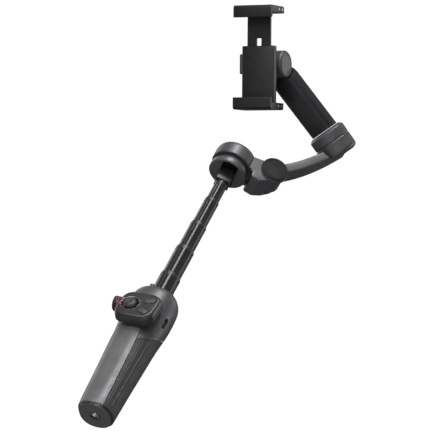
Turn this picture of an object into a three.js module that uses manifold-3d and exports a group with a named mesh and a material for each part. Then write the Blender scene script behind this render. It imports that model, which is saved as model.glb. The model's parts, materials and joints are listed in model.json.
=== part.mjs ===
// Phone gimbal: grip handle with battery, detachable remote, five-stage telescopic rod,
// tilting neck, pan motor, folding swing arm, roll motor, tilt motor and sprung phone clamp.
// Millimetres, +Z up along the handle, controls face -Y, origin at the middle of the base.
import * as THREE from 'three';
import { mergeVertices } from 'three/addons/utils/BufferGeometryUtils.js';
import Module from 'manifold-3d';

const wasm = await Module();
wasm.setup();

// ---- driving dimensions -------------------------------------------------------------

const GAP = 0.3;                    // clearance between neighbouring pieces

// Handle: [height, half width in X, half depth in Y]
const HANDLE_STATIONS = [
  [0, 13.1, 13.2], [1, 13.8, 13.8], [2.6, 14.2, 14.1], [14, 14.7, 14.2], [30, 15.3, 14.5],
  [57, 16.5, 15.4], [76, 17.4, 16.1], [86, 18.3, 16.9], [94, 19.0, 17.6], [104, 19.2, 17.7],
  [112, 18.9, 17.4], [117, 18.2, 16.7], [120.5, 16.5, 15.2], [122.8, 14.4, 13.2], [124, 12.2, 11.4],
];
const HANDLE_SQUARENESS = 2.25;
const HANDLE_SIDES = 40;
const HANDLE_WALL = 2.2;
const STRIP_TOP = 79;
const RUBBER_TOP = 81;              // height of the rubber's edge on the axis
const RUBBER_EDGE_SLOPE = 41;       // the edge climbs towards the back, degrees
const STRIP_RIGHT = [8.6, 7.4];     // front strip's edges at the base and at its top
const STRIP_LEFT = [-12.2, -14.4];
const CAP_HALF_X = 12.3;
const CAP_HALF_Y = 12.4;
const CAP_THICK = 2.4;
const THREAD_RADIUS = 3.1;          // 1/4 inch tripod thread
const INSERT_RADIUS = 5;
const INSERT_LENGTH = 8;
const BATTERY_RADIUS = 9.1;
const BATTERY_LENGTH = 62;
const BATTERY_BOTTOM = 11;

// Remote control on the front of the head
const REMOTE_CENTRE = [0, -17.2, 91.4];
const REMOTE_TILT = 8;              // face leans back by this many degrees
const REMOTE_WIDTH = 32;
const REMOTE_HEIGHT = 30;
const REMOTE_DEPTH = 8;
const REMOTE_CORNER = 9;
const REMOTE_WALL = 1.6;
const JOYSTICK_AT = [-5.8, -0.6];   // on the remote's face
const JOYSTICK_WELL = 6.4;
const UPPER_BUTTON_AT = [8, 5];
const LOWER_BUTTON_AT = [7.4, -7.4];
const BUTTON_LENGTH = 8;
const BUTTON_WIDTH = 5;
const BUTTON_TURN = 20;             // each button leans this far from level, degrees

const DIAL_AT = [-20.6, -8.5, 103];
const DIAL_RADIUS = 6;
const TRIGGER_AT = [0, 17.2, 104];
const TRIGGER_PIVOT = [0, 16, 108.6];
const PORT_AZIMUTH = -18;
const PORT_HEIGHT = 94;
const POWER_BUTTON_AT = [-3.2, -12.6];

// Telescopic rod: [outer radius, lowest point, top] of each tube at full length
const ROD_TUBES = [
  [8.2, 115, 146], [7.45, 140, 175.5], [6.6, 169.5, 203.4], [5.85, 197.4, 231], [5.1, 225, 251],
];
const ROD_SIDES = 24;
const ROD_CLEARANCE = 0.2;
const ROD_INNER_BORE = 3.4;
const SLEEVE_BOTTOM = 84;

// Neck and pan motor
const NECK_HALF_WIDTH = 6;
const NECK_AZIMUTH = 25;            // the neck hinge is turned from +X by this much, degrees
const NECK_BOTTOM = 251.3;
const NECK_PIVOT = 264.5;
const PAN_BOTTOM = 262.2;
const PAN_RADIUS = 15.5;
const PAN_RIM_HEIGHT = 5.3;
const PAN_GAP_HEIGHT = 4;
const PAN_UPPER_RADIUS = 16.4;
const PAN_UPPER_HEIGHT = 14;
const PAN_REST_AZIMUTH = 29.7;
const POCKET_HALF_WIDTH = 6.4;
const POCKET_TOP = 269;
const POCKET_RADIUS = 13.9;

// Fold hinge and swing arm, measured in the arm's own plane
const HINGE_OUT = 31.3;
const HINGE_HEIGHT = 280.7;
const HINGE_RADIUS = 9.4;
const BOSS_RADIUS = 11;
const CHEEK_INNER = 7.9;
const CHEEK_FRONT = 10.2;
const CHEEK_REAR = 11.6;
const BOSS_FRONT = 11.6;
// Side view of the hinge bracket, [outward, up] from the hinge axis
const WEB_OUTLINE = [
  [-29, -10.8], [-14.4, -10.8], [-14.4, -14.4], [-13, -15.9], [-6.5, -16], [-0.2, -12], [5, -6.4],
  [7.6, -2], [8.2, 2], [6, 6.4], [1, 8.6], [-5, 8], [-11, 4.4], [-18, 3], [-29, 3],
];
const ARM_HALF_WIDTH = 7.5;
const ARM_THICK_ROOT = 8.6;
const ARM_THICK_TIP = 7.6;

// Roll motor: seam between its rotor and its stator, and where its axis points at rest
const ROLL_SEAM = [54.6, 28.9, 344.1];
const ROLL_AZIMUTH = -133.8;
const ROLL_ELEVATION = 20.3;
const ROLL_RADIUS = 15.5;
const ROLL_ROTOR_LENGTH = 10.2;
const ROLL_STATOR_LENGTH = 9.5;

// Tilt motor and clamp, in the clamp's own frame: +x to the right, +y to the back, +z up
const TILT_CENTRE = [0.3, -22.9, 367.9];
const TILT_AXIS_AZIMUTH = -8.3;
const TILT_AXIS_ELEVATION = 3.6;
const CLAMP_PITCH = 46.2;
const TILT_RADIUS = 11.5;
const PHONE_MIDDLE = [0, -30, 4.3];
const PHONE_HEIGHT = 71.5;
const PHONE_THICK = 7.9;
const JAW_HALF_WIDTH = 16.5;
const JAW_FRONT = -37.4;
const JAW_BACK = -11.6;
const JAW_THICK = 5.6;
const LIP_OVERHANG = 4;
const PAD_THICK = 0.9;

// ---- colours ------------------------------------------------------------------------

function finish(color, roughness, metalness) {
  return { color, roughness, metalness };
}

const GRAY_PLASTIC = finish(0x4a4a4c, 0.45, 0.1);
const SATIN_STRIP = finish(0x6a6a6c, 0.35, 0.3);
const BLACK_PLASTIC = finish(0x161617, 0.5, 0);
const RUBBER = finish(0x1f1f20, 0.8, 0);
const ROD_METAL = finish(0x2c2c2e, 0.35, 0.6);
const BARE_METAL = finish(0xa8a8ac, 0.3, 1);
const RED_PLASTIC = finish(0x7a1020, 0.4, 0);
const BOARD_GREEN = finish(0x1f5a34, 0.6, 0);
const CELL_WRAP = finish(0x2d5f9a, 0.5, 0);
const COPPER = finish(0xb06a35, 0.4, 1);

// ---- geometry helpers ---------------------------------------------------------------

const radians = THREE.MathUtils.degToRad;

// Closed geometry -> solid with faces pointing out.
function solid(geometry) {
  const bare = geometry.clone();
  bare.deleteAttribute('normal');
  bare.deleteAttribute('uv');
  const merged = mergeVertices(bare, 1e-4);
  const position = merged.attributes.position;
  const index = merged.index.array;
  const triangles = [];
  const a = new THREE.Vector3();
  const b = new THREE.Vector3();
  const c = new THREE.Vector3();
  let volume = 0;
  for (let i = 0; i < index.length; i += 3) {
    const [p, q, r] = [index[i], index[i + 1], index[i + 2]];
    if (p === q || q === r || r === p) continue;
    triangles.push(p, q, r);
    a.fromBufferAttribute(position, p);
    b.fromBufferAttribute(position, q);
    c.fromBufferAttribute(position, r);
    volume += a.dot(b.cross(c));
  }
  if (volume < 0) triangles.reverse();
  return new wasm.Manifold(new wasm.Mesh({
    numProp: 3,
    vertProperties: new Float32Array(position.array),
    triVerts: new Uint32Array(triangles),
  }));
}

function geometryOf(shape) {
  const mesh = shape.getMesh();
  const geometry = new THREE.BufferGeometry();
  geometry.setAttribute('position', new THREE.BufferAttribute(new Float32Array(mesh.vertProperties), 3));
  geometry.setIndex(new THREE.BufferAttribute(new Uint32Array(mesh.triVerts), 1));
  geometry.computeVertexNormals();
  return geometry;
}

function piece(name, shape, look) {
  const mesh = new THREE.Mesh(geometryOf(shape), new THREE.MeshStandardMaterial(look));
  mesh.name = name;
  return mesh;
}

// Revolves [radius, height] points round +Z.
function revolve(points, sides = 32) {
  const profile = points.map(([radius, height]) => new THREE.Vector2(radius, height));
  return solid(new THREE.LatheGeometry(profile, sides).rotateX(Math.PI / 2));
}

function rod(radius, bottom, top, sides = 32) {
  return revolve([[0, bottom], [radius, bottom], [radius, top], [0, top]], sides);
}

function tube(outer, inner, bottom, top, sides = 32) {
  return revolve([[inner, bottom], [outer, bottom], [outer, top], [inner, top], [inner, bottom]], sides);
}

function block(low, high) {
  const size = low.map((value, k) => high[k] - value);
  const box = new THREE.BoxGeometry(...size);
  box.translate(...low.map((value, k) => value + size[k] / 2));
  return solid(box);
}

// Extrudes a Shape in its XY plane from bottom to top, with an optional rounded edge.
function slab(outline, bottom, top, edge = 0) {
  const geometry = new THREE.ExtrudeGeometry(outline, {
    depth: top - bottom - 2 * edge,
    bevelEnabled: edge > 0,
    bevelThickness: edge,
    bevelSize: edge,
    bevelOffset: -edge,
    bevelSegments: 2,
    curveSegments: 5,
  });
  geometry.translate(0, 0, bottom + edge);
  return solid(geometry);
}

function roundedRectangle(halfX, halfY, corner) {
  const outline = new THREE.Shape();
  const x = halfX - corner;
  const y = halfY - corner;
  outline.absarc(x, y, corner, 0, Math.PI / 2);
  outline.absarc(-x, y, corner, Math.PI / 2, Math.PI);
  outline.absarc(-x, -y, corner, Math.PI, 1.5 * Math.PI);
  outline.absarc(x, -y, corner, 1.5 * Math.PI, 2 * Math.PI);
  return outline;
}

// Rounded oval ring at one height.
function ovalRing(halfX, halfY, height) {
  const ring = [];
  const power = 2 / HANDLE_SQUARENESS;
  for (let k = 0; k < HANDLE_SIDES; k++) {
    const angle = (2 * Math.PI * k) / HANDLE_SIDES;
    const x = Math.sign(Math.cos(angle)) * Math.abs(Math.cos(angle)) ** power;
    const y = Math.sign(Math.sin(angle)) * Math.abs(Math.sin(angle)) ** power;
    ring.push(new THREE.Vector3(halfX * x, halfY * y, height));
  }
  return ring;
}

// Skins a row of rings with equal point counts and closes both ends.
function loft(rings) {
  const count = rings[0].length;
  const points = rings.flat();
  const first = points.length;
  const middle = (ring) => ring.reduce((sum, p) => sum.add(p), new THREE.Vector3()).divideScalar(count);
  points.push(middle(rings[0]), middle(rings[rings.length - 1]));
  const faces = [];
  for (let k = 0; k < count; k++) {
    const next = (k + 1) % count;
    for (let level = 0; level + 1 < rings.length; level++) {
      const low = level * count;
      const high = low + count;
      faces.push(low + k, low + next, high + next, low + k, high + next, high + k);
    }
    const last = (rings.length - 1) * count;
    faces.push(first, next, k, first + 1, last + k, last + next);
  }
  const geometry = new THREE.BufferGeometry().setFromPoints(points);
  geometry.setIndex(faces);
  return solid(geometry);
}

function ovalBody(stations, inset = 0) {
  return loft(stations.map(([height, halfX, halfY]) => ovalRing(halfX - inset, halfY - inset, height)));
}

// Moves a solid: turn about X, Y, Z in degrees (in that order), then shift.
function placed(shape, shift, turn = [0, 0, 0]) {
  return shape.rotate(turn).translate(shift);
}

function group(parent, position, turn = [0, 0, 0]) {
  const node = new THREE.Group();
  node.position.set(...position);
  node.rotation.set(...turn.map(radians), 'ZYX');
  parent.add(node);
  parent.updateWorldMatrix(true, false);
  node.updateWorldMatrix(false, false);
  return node;
}

// A group whose frame is given in the object's frame, hung under another group.
function groupInObjectFrame(parent, position, turn) {
  const node = group(gimbal, position, turn);
  parent.attach(node);
  return node;
}

export const gimbal = new THREE.Group();

// ---- handle -------------------------------------------------------------------------

// Half space below a plane that climbs towards +Y and crosses the axis at the given height.
function belowSlope(height) {
  return placed(block([-80, -80, -200], [80, 80, 0]), [0, 0, height], [RUBBER_EDGE_SLOPE, 0, 0]);
}

// Front strip's region of the handle, widened by a margin on its sides and its top.
function stripRegion(margin) {
  const outline = new THREE.Shape([
    new THREE.Vector2(STRIP_LEFT[0] - margin, -2),
    new THREE.Vector2(STRIP_RIGHT[0] + margin, -2),
    new THREE.Vector2(STRIP_RIGHT[1] + margin, STRIP_TOP + margin),
    new THREE.Vector2(STRIP_LEFT[1] - margin, STRIP_TOP + margin),
  ]);
  return placed(slab(outline, 2, 40), [0, 0, 0], [90, 0, 0]);
}

function handleShells() {
  const seatX = CAP_HALF_X + 0.35;
  const seatY = CAP_HALF_Y + 0.35;
  const inside = HANDLE_STATIONS.slice(3, 12).map(([z, x, y]) => [z, x - HANDLE_WALL, y - HANDLE_WALL]);
  const hollow = ovalBody([[-1, seatX, seatY], [CAP_THICK, seatX, seatY], ...inside, [121, 11.5, 10.5]]);
  const shell = ovalBody(HANDLE_STATIONS).subtract(hollow);
  return {
    front: shell.intersect(stripRegion(-GAP / 2)),
    rubber: shell.intersect(belowSlope(RUBBER_TOP)).subtract(stripRegion(GAP / 2)),
    head: shell.subtract(belowSlope(RUBBER_TOP + GAP)).subtract(stripRegion(GAP / 2)),
  };
}

function headHousing(shell) {
  const remoteTurn = [90 - REMOTE_TILT, 0, 0];
  const seatOutline = (margin) => roundedRectangle(REMOTE_WIDTH / 2 + margin, REMOTE_HEIGHT / 2 + margin,
    REMOTE_CORNER + margin);
  const remoteSeat = placed(slab(seatOutline(0.6), -0.4, 20), REMOTE_CENTRE, remoteTurn);
  const seatWall = placed(slab(seatOutline(-1), -2.4, -0.4), REMOTE_CENTRE, remoteTurn)
    .intersect(ovalBody(HANDLE_STATIONS))
    .subtract(stripRegion(GAP / 2))
    .subtract(belowSlope(RUBBER_TOP + GAP));
  const dialBoss = placed(rod(4.2, -3.6, 0.2, 24), DIAL_AT, [0, -90, 0]);
  const rodHole = rod(ROD_TUBES[0][0] + 1.4, 100, 130, ROD_SIDES);
  const triggerWindow = block([-5.6, 10, 95.5], [5.6, 30, 112.5]);
  const port = placed(slab(roundedRectangle(4.85, 1.95, 1.9), 0, 30), [0, 0, PORT_HEIGHT],
    [0, 90, 0]).rotate([0, 0, PORT_AZIMUTH]);
  const button = placed(rod(2.3, 110, 130, 20), [...POWER_BUTTON_AT, 0]);
  const dialHole = placed(rod(1.9, -10, 10, 16), DIAL_AT, [0, 90, 0]);
  const pinHole = placed(rod(1.3, -7.2, 7.2, 16), TRIGGER_PIVOT, [0, 90, 0]);
  return shell.add(seatWall).add(dialBoss).subtract(remoteSeat).subtract(rodHole).subtract(triggerWindow)
    .subtract(port).subtract(button).subtract(dialHole).subtract(pinHole);
}

function buildHandle(parent) {
  const { front, rubber, head } = handleShells();
  parent.add(piece('grip_front_strip', front, SATIN_STRIP));
  parent.add(piece('grip_rubber_sleeve', rubber, RUBBER));
  parent.add(piece('head_housing', headHousing(head), GRAY_PLASTIC));

  const cap = ovalBody([[0, CAP_HALF_X, CAP_HALF_Y], [CAP_THICK - GAP, CAP_HALF_X, CAP_HALF_Y]])
    .subtract(rod(INSERT_RADIUS - 0.5, -1, 5, 24));
  parent.add(piece('base_cap', cap, GRAY_PLASTIC));
  const insert = revolve([[THREAD_RADIUS, 0.4], [INSERT_RADIUS - 0.8, 0.4],
    [INSERT_RADIUS - 0.8, CAP_THICK], [INSERT_RADIUS + 1, CAP_THICK],
    [INSERT_RADIUS + 1, INSERT_LENGTH], [THREAD_RADIUS, INSERT_LENGTH],
    [THREAD_RADIUS, 0.4]], 24);
  parent.add(piece('tripod_thread_insert', insert, BARE_METAL));

  parent.add(piece('battery_cell', rod(BATTERY_RADIUS, BATTERY_BOTTOM, BATTERY_BOTTOM + BATTERY_LENGTH, 24),
    CELL_WRAP));
  parent.add(piece('main_board', block([-5, 9.9, 18], [5, 10.9, 76]), BOARD_GREEN));

  const sleeveBore = ROD_TUBES[0][0] + ROD_CLEARANCE;
  parent.add(piece('rod_guide_sleeve', tube(sleeveBore + 0.9, sleeveBore, SLEEVE_BOTTOM, 120, ROD_SIDES),
    BLACK_PLASTIC));
  const collar = revolve([[sleeveBore, 120.3], [sleeveBore + 0.9, 120.3],
    [sleeveBore + 0.9, 124.3], [10.5, 124.3],
    [9.8, 125.4], [sleeveBore, 125.4], [sleeveBore, 120.3]], ROD_SIDES);
  parent.add(piece('rod_collar', collar, GRAY_PLASTIC));

  const portShell = placed(slab(roundedRectangle(4.5, 1.6, 1.55), 16.6, 18.4)
    .subtract(slab(roundedRectangle(4.1, 1.2, 1.15), 17.4, 30)), [0, 0, PORT_HEIGHT], [0, 90, 0])
    .rotate([0, 0, PORT_AZIMUTH]);
  parent.add(piece('usb_c_port', portShell, BLACK_PLASTIC));

  const powerButton = group(parent, [...POWER_BUTTON_AT, 121]);
  powerButton.add(piece('power_button', revolve([[0, -3], [2, -3], [2, 2.6], [1.6, 3.2], [0, 3.4]], 20),
    GRAY_PLASTIC));

  const dial = group(parent, DIAL_AT, [0, -90, 0]);
  dial.add(piece('dial_shaft', rod(1.6, -4, 0.6, 16), BARE_METAL));
  dial.add(piece('dial_red_ring', tube(DIAL_RADIUS - 0.5, 2.6, 0.9, 2.2, 28), RED_PLASTIC));
  const wheel = revolve([[0, 0.9], [2.3, 0.9], [2.3, 2.5], [DIAL_RADIUS - 0.6, 2.5], [DIAL_RADIUS, 3],
    [DIAL_RADIUS, 5.4], [DIAL_RADIUS - 0.7, 6], [0, 6.2]], 28);
  dial.add(piece('side_dial', wheel, BLACK_PLASTIC));

  const trigger = group(parent, TRIGGER_AT);
  const lever = new THREE.Shape();
  lever.moveTo(-3.2, 6.6);
  lever.lineTo(1.2, 6.6);
  lever.quadraticCurveTo(3.4, 0, 4.4, -7.4);
  lever.lineTo(1.4, -7.4);
  lever.quadraticCurveTo(-0.4, -1, -3.2, 2.2);
  const pinInLever = TRIGGER_PIVOT.map((value, k) => value - TRIGGER_AT[k]);
  const leverSolid = placed(slab(lever, -5, 5), [0, 0, 0], [90, 0, 90])
    .subtract(placed(rod(1.3, -10, 10, 16), pinInLever, [0, 90, 0]));
  trigger.add(piece('rear_trigger', leverSolid, GRAY_PLASTIC));
  parent.add(piece('trigger_pin', placed(rod(1, -6.8, 6.8, 12), TRIGGER_PIVOT, [0, 90, 0]), BARE_METAL));
}

// ---- remote -------------------------------------------------------------------------

function capsule(length, width) {
  return roundedRectangle(length / 2, width / 2, width / 2 - 0.2);
}

function buildRemote(parent) {
  const remote = group(parent, REMOTE_CENTRE, [90 - REMOTE_TILT, 0, 0]);
  const halfX = REMOTE_WIDTH / 2;
  const halfY = REMOTE_HEIGHT / 2;
  const buttonHole = slab(capsule(BUTTON_LENGTH + 0.6, BUTTON_WIDTH + 0.6), 2, 20);
  const inside = slab(roundedRectangle(halfX - REMOTE_WALL, halfY - REMOTE_WALL, REMOTE_CORNER - 1.2), -5,
    REMOTE_DEPTH - REMOTE_WALL);
  const wellFloor = placed(rod(JOYSTICK_WELL + 0.9, REMOTE_DEPTH - 3.7, REMOTE_DEPTH - 1, 28),
    [...JOYSTICK_AT, 0]);
  const well = placed(rod(JOYSTICK_WELL, REMOTE_DEPTH - 3.2, REMOTE_DEPTH + 5, 28), [...JOYSTICK_AT, 0]);
  const stemHole = placed(rod(2.4, 0, 20, 16), [...JOYSTICK_AT, 0]);
  const shell = slab(roundedRectangle(halfX, halfY, REMOTE_CORNER), 0, REMOTE_DEPTH, 1.4)
    .subtract(inside).add(wellFloor).subtract(well).subtract(stemHole)
    .subtract(placed(buttonHole, [...UPPER_BUTTON_AT, 0], [0, 0, BUTTON_TURN]))
    .subtract(placed(buttonHole, [...LOWER_BUTTON_AT, 0], [0, 0, -BUTTON_TURN]));
  remote.add(piece('remote_shell', shell, GRAY_PLASTIC));
  const coverOutline = roundedRectangle(halfX - REMOTE_WALL - GAP, halfY - REMOTE_WALL - GAP,
    REMOTE_CORNER - 1.5);
  const boardOutline = roundedRectangle(halfX - 2.4, halfY - 2.4, 7);
  remote.add(piece('remote_back_cover', slab(coverOutline, 0.2, 1.2), BLACK_PLASTIC));
  remote.add(piece('remote_board', slab(boardOutline, 1.6, 2.4), BOARD_GREEN));

  const ring = group(remote, [...JOYSTICK_AT, 3.4]);
  ring.add(piece('joystick_gimbal_ring', tube(3, 2.4, -0.4, 0.2, 20), BARE_METAL));
  const stick = group(ring, [0, 0, 0]);
  const cap = revolve([[0, -0.6], [1.3, -0.6], [1.3, 2.6], [4.9, 3.2], [5.1, 4], [4.2, 5.6], [2, 6.6],
    [0, 6.8]], 28);
  stick.add(piece('joystick_cap', cap, BLACK_PLASTIC));
  const buttons = [
    ['upper_button', UPPER_BUTTON_AT, BUTTON_TURN],
    ['lower_button', LOWER_BUTTON_AT, -BUTTON_TURN],
  ];
  for (const [name, at, turn] of buttons) {
    const spot = group(remote, [...at, 0], [0, 0, turn]);
    const key = slab(capsule(BUTTON_LENGTH, BUTTON_WIDTH), 3.4, REMOTE_DEPTH + 0.8, 0.5);
    spot.add(piece(name, key, GRAY_PLASTIC));
  }
}

// ---- telescopic rod and neck --------------------------------------------------------

function buildRod(parent) {
  let holder = parent;
  ROD_TUBES.forEach(([radius, bottom, top], k) => {
    holder = group(holder, [0, 0, 0]);
    const next = ROD_TUBES[k + 1];
    const bore = next ? next[0] + ROD_CLEARANCE : ROD_INNER_BORE;
    holder.add(piece(`rod_tube_${k + 1}`, tube(radius, bore, bottom, top, ROD_SIDES), ROD_METAL));
  });
  const neck = new THREE.Shape();
  const tongue = 3.4;
  const pivotUp = NECK_PIVOT - NECK_BOTTOM;
  neck.moveTo(-5.4, 0);
  neck.lineTo(5.4, 0);
  neck.lineTo(5.2, 4.4);
  neck.lineTo(tongue, 6);
  neck.lineTo(tongue, pivotUp);
  neck.absarc(0, pivotUp, tongue, 0, Math.PI);
  neck.lineTo(-tongue, 6);
  neck.lineTo(-5.2, 4.4);
  const neckBlock = placed(slab(neck, -NECK_HALF_WIDTH, NECK_HALF_WIDTH), [0, 0, NECK_BOTTOM],
    [90, 0, 90 + NECK_AZIMUTH])
    .subtract(placed(rod(1.8, -10, 10, 16), [0, 0, NECK_PIVOT], [0, 90, NECK_AZIMUTH]));
  holder.add(piece('neck_block', neckBlock, BLACK_PLASTIC));
  return holder;
}

function buildPanBase(parent) {
  const base = group(parent, [0, 0, NECK_PIVOT], [0, 0, NECK_AZIMUTH]);
  const low = PAN_BOTTOM - NECK_PIVOT;
  const rim = low + PAN_RIM_HEIGHT;
  const collarTop = rim + PAN_GAP_HEIGHT - GAP;
  const housing = revolve([[0, low], [PAN_RADIUS - 1, low], [PAN_RADIUS, low + 0.8],
    [PAN_RADIUS, rim - 0.6],
    [PAN_RADIUS - 0.6, rim], [13.4, rim], [13.4, collarTop], [0, collarTop]], 40);
  const pocket = (radius, top) => block([-POCKET_HALF_WIDTH, -30, low - 1], [POCKET_HALF_WIDTH, 30, top])
    .intersect(rod(radius, low - 2, top + 1, 40));
  const channel = pocket(POCKET_RADIUS, rim - 0.4).add(pocket(POCKET_RADIUS - 1.8, POCKET_TOP - NECK_PIVOT));
  const pinHole = placed(rod(1.95, -11.3, 11.3, 16), [0, 0, 0], [0, 90, 0]);
  const bearingSeat = rod(6.3, POCKET_TOP - NECK_PIVOT + 0.4, 20, 24);
  base.add(piece('pan_base_housing', housing.subtract(channel).subtract(pinHole).subtract(bearingSeat),
    GRAY_PLASTIC));
  base.add(piece('neck_pin', placed(rod(1.6, -11, 11, 16), [0, 0, 0], [0, 90, 0]), BARE_METAL));
  base.add(piece('pan_motor_bearing', tube(6, 3.3, POCKET_TOP - NECK_PIVOT + 0.7, 9.6, 24), BARE_METAL));
  base.add(piece('pan_motor_stator', tube(11.5, 7, collarTop + 1.4, collarTop + 7, 30), COPPER));
  return base;
}

// ---- pan housing with the hinge fork ------------------------------------------------

function buildPanHead(parent) {
  const bottom = PAN_BOTTOM + PAN_RIM_HEIGHT + PAN_GAP_HEIGHT;
  const head = groupInObjectFrame(parent, [0, 0, bottom], [0, 0, PAN_REST_AZIMUTH]);
  const top = PAN_UPPER_HEIGHT;
  const hingeUp = HINGE_HEIGHT - bottom;
  let housing = revolve([[0, 0], [PAN_UPPER_RADIUS - 0.6, 0], [PAN_UPPER_RADIUS, 0.6],
    [PAN_UPPER_RADIUS, top - 4],
    [PAN_UPPER_RADIUS - 1, top - 1.6], [PAN_UPPER_RADIUS - 3.6, top], [0, top]], 40);
  const webPoints = WEB_OUTLINE.map(([out, up]) => new THREE.Vector2(HINGE_OUT + out, hingeUp + up));
  const web = new THREE.Shape(webPoints);
  const bridge = placed(slab(web, -CHEEK_REAR, CHEEK_FRONT), [0, 0, 0], [90, 0, 0]);
  const boss = placed(rod(BOSS_RADIUS, CHEEK_INNER, BOSS_FRONT, 36), [HINGE_OUT, 0, hingeUp], [90, 0, 0]);
  // room for the knuckle, and the sector that the arm sweeps as it folds
  const sweep = new THREE.Shape([[0, 0], [17, -46], [60, -46], [60, 60], [-24, 60]]
    .map(([out, up]) => new THREE.Vector2(HINGE_OUT + out, hingeUp + up)));
  const slot = placed(slab(sweep, -CHEEK_INNER, CHEEK_INNER), [0, 0, 0], [90, 0, 0])
    .add(placed(rod(HINGE_RADIUS + 0.7, -CHEEK_INNER, CHEEK_INNER, 32), [HINGE_OUT, 0, hingeUp], [90, 0, 0]));
  const discRoom = rod(PAN_RADIUS + 2.6, -30, 0, 40);
  const rotorRoom = rod(12.4, -1, 9.2, 30);
  const pinHole = placed(rod(2.8, -20, 20, 16), [HINGE_OUT, 0, hingeUp], [90, 0, 0]);
  housing = housing.add(bridge).add(boss)
    .subtract(slot).subtract(rotorRoom).subtract(discRoom).subtract(pinHole);
  head.add(piece('pan_housing', housing, GRAY_PLASTIC));
  head.add(piece('pan_motor_shaft', rod(3, -1.7, 9, 20), BARE_METAL));
  head.add(piece('fold_hinge_pin', placed(rod(2.5, -10, 11.3, 16), [HINGE_OUT, 0, hingeUp], [90, 0, 0]),
    BARE_METAL));
  const cap = revolve([[0, BOSS_FRONT + GAP], [10.6, BOSS_FRONT + GAP], [10.6, BOSS_FRONT + 0.9],
    [9.8, BOSS_FRONT + 1.4], [0, BOSS_FRONT + 1.4]], 32);
  head.add(piece('hinge_cap', placed(cap, [HINGE_OUT, 0, hingeUp], [90, 0, 0]), RUBBER));
  return head;
}

// ---- swing arm with the roll motor's stator -----------------------------------------

function armOutline() {
  const root = new THREE.Vector2(0, 4);
  const bend = new THREE.Vector2(22, 22);
  const tip = new THREE.Vector2(40.5, 63);
  const spine = new THREE.QuadraticBezierCurve(root, bend, tip);
  const steps = 12;
  const outerSide = [];
  const innerSide = [];
  for (let k = 0; k <= steps; k++) {
    const along = k / steps;
    const point = spine.getPoint(along);
    const heading = spine.getTangent(along);
    const across = new THREE.Vector2(heading.y, -heading.x);
    const half = THREE.MathUtils.lerp(ARM_THICK_ROOT, ARM_THICK_TIP, along) / 2;
    outerSide.push(point.clone().addScaledVector(across, half));
    innerSide.push(point.clone().addScaledVector(across, -half));
  }
  return new THREE.Shape([...outerSide, ...innerSide.reverse()]);
}

function buildSwingArm(parent) {
  const turn = radians(PAN_REST_AZIMUTH);
  const hinge = [HINGE_OUT * Math.cos(turn), HINGE_OUT * Math.sin(turn), HINGE_HEIGHT];
  const arm = groupInObjectFrame(parent, hinge, [0, 0, PAN_REST_AZIMUTH]);
  const motor = groupInObjectFrame(arm, ROLL_SEAM, [0, 90 - ROLL_ELEVATION, ROLL_AZIMUTH]);
  const back = -ROLL_STATOR_LENGTH;

  // the motor's frame seen from the arm
  motor.updateMatrix();
  const toArm = motor.matrix;
  const moved = (shape) => shape.transform(toArm.toArray());

  let beam = placed(slab(armOutline(), -ARM_HALF_WIDTH, ARM_HALF_WIDTH, 1), [0, 0, 0], [90, 0, 0]);
  const knuckle = placed(rod(HINGE_RADIUS, -ARM_HALF_WIDTH, ARM_HALF_WIDTH, 32), [0, 0, 0], [90, 0, 0]);
  const endCap = moved(revolve([[0, back - 4], [11.5, back - 4], [14.4, back - 2.8],
    [ROLL_RADIUS, back - 1],
    [ROLL_RADIUS, back - GAP], [0, back - GAP]], 40));
  beam = beam.subtract(moved(rod(ROLL_RADIUS + 4, back - GAP, 40, 40)));
  const boreHole = placed(rod(2.8, -20, 20, 16), [0, 0, 0], [90, 0, 0]);
  arm.add(piece('swing_arm', beam.add(knuckle).add(endCap).subtract(boreHole), GRAY_PLASTIC));

  const stator = revolve([[0, back], [ROLL_RADIUS, back], [ROLL_RADIUS, -0.5], [ROLL_RADIUS - 0.5, -GAP],
    [12.6, -GAP], [12.6, back + 2.2], [6.4, back + 2.2], [6.4, back + 0.9], [0, back + 0.9]], 40);
  motor.add(piece('roll_stator_housing', stator, GRAY_PLASTIC));
  motor.add(piece('roll_motor_coil', tube(12, 7, back + 2.6, -1, 30), COPPER));
  motor.add(piece('roll_motor_bearing', tube(6, 3.3, back + 1.2, back + 4.4, 24), BARE_METAL));
  return motor;
}

// ---- roll rotor, roll arm and tilt motor housing ------------------------------------

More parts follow.
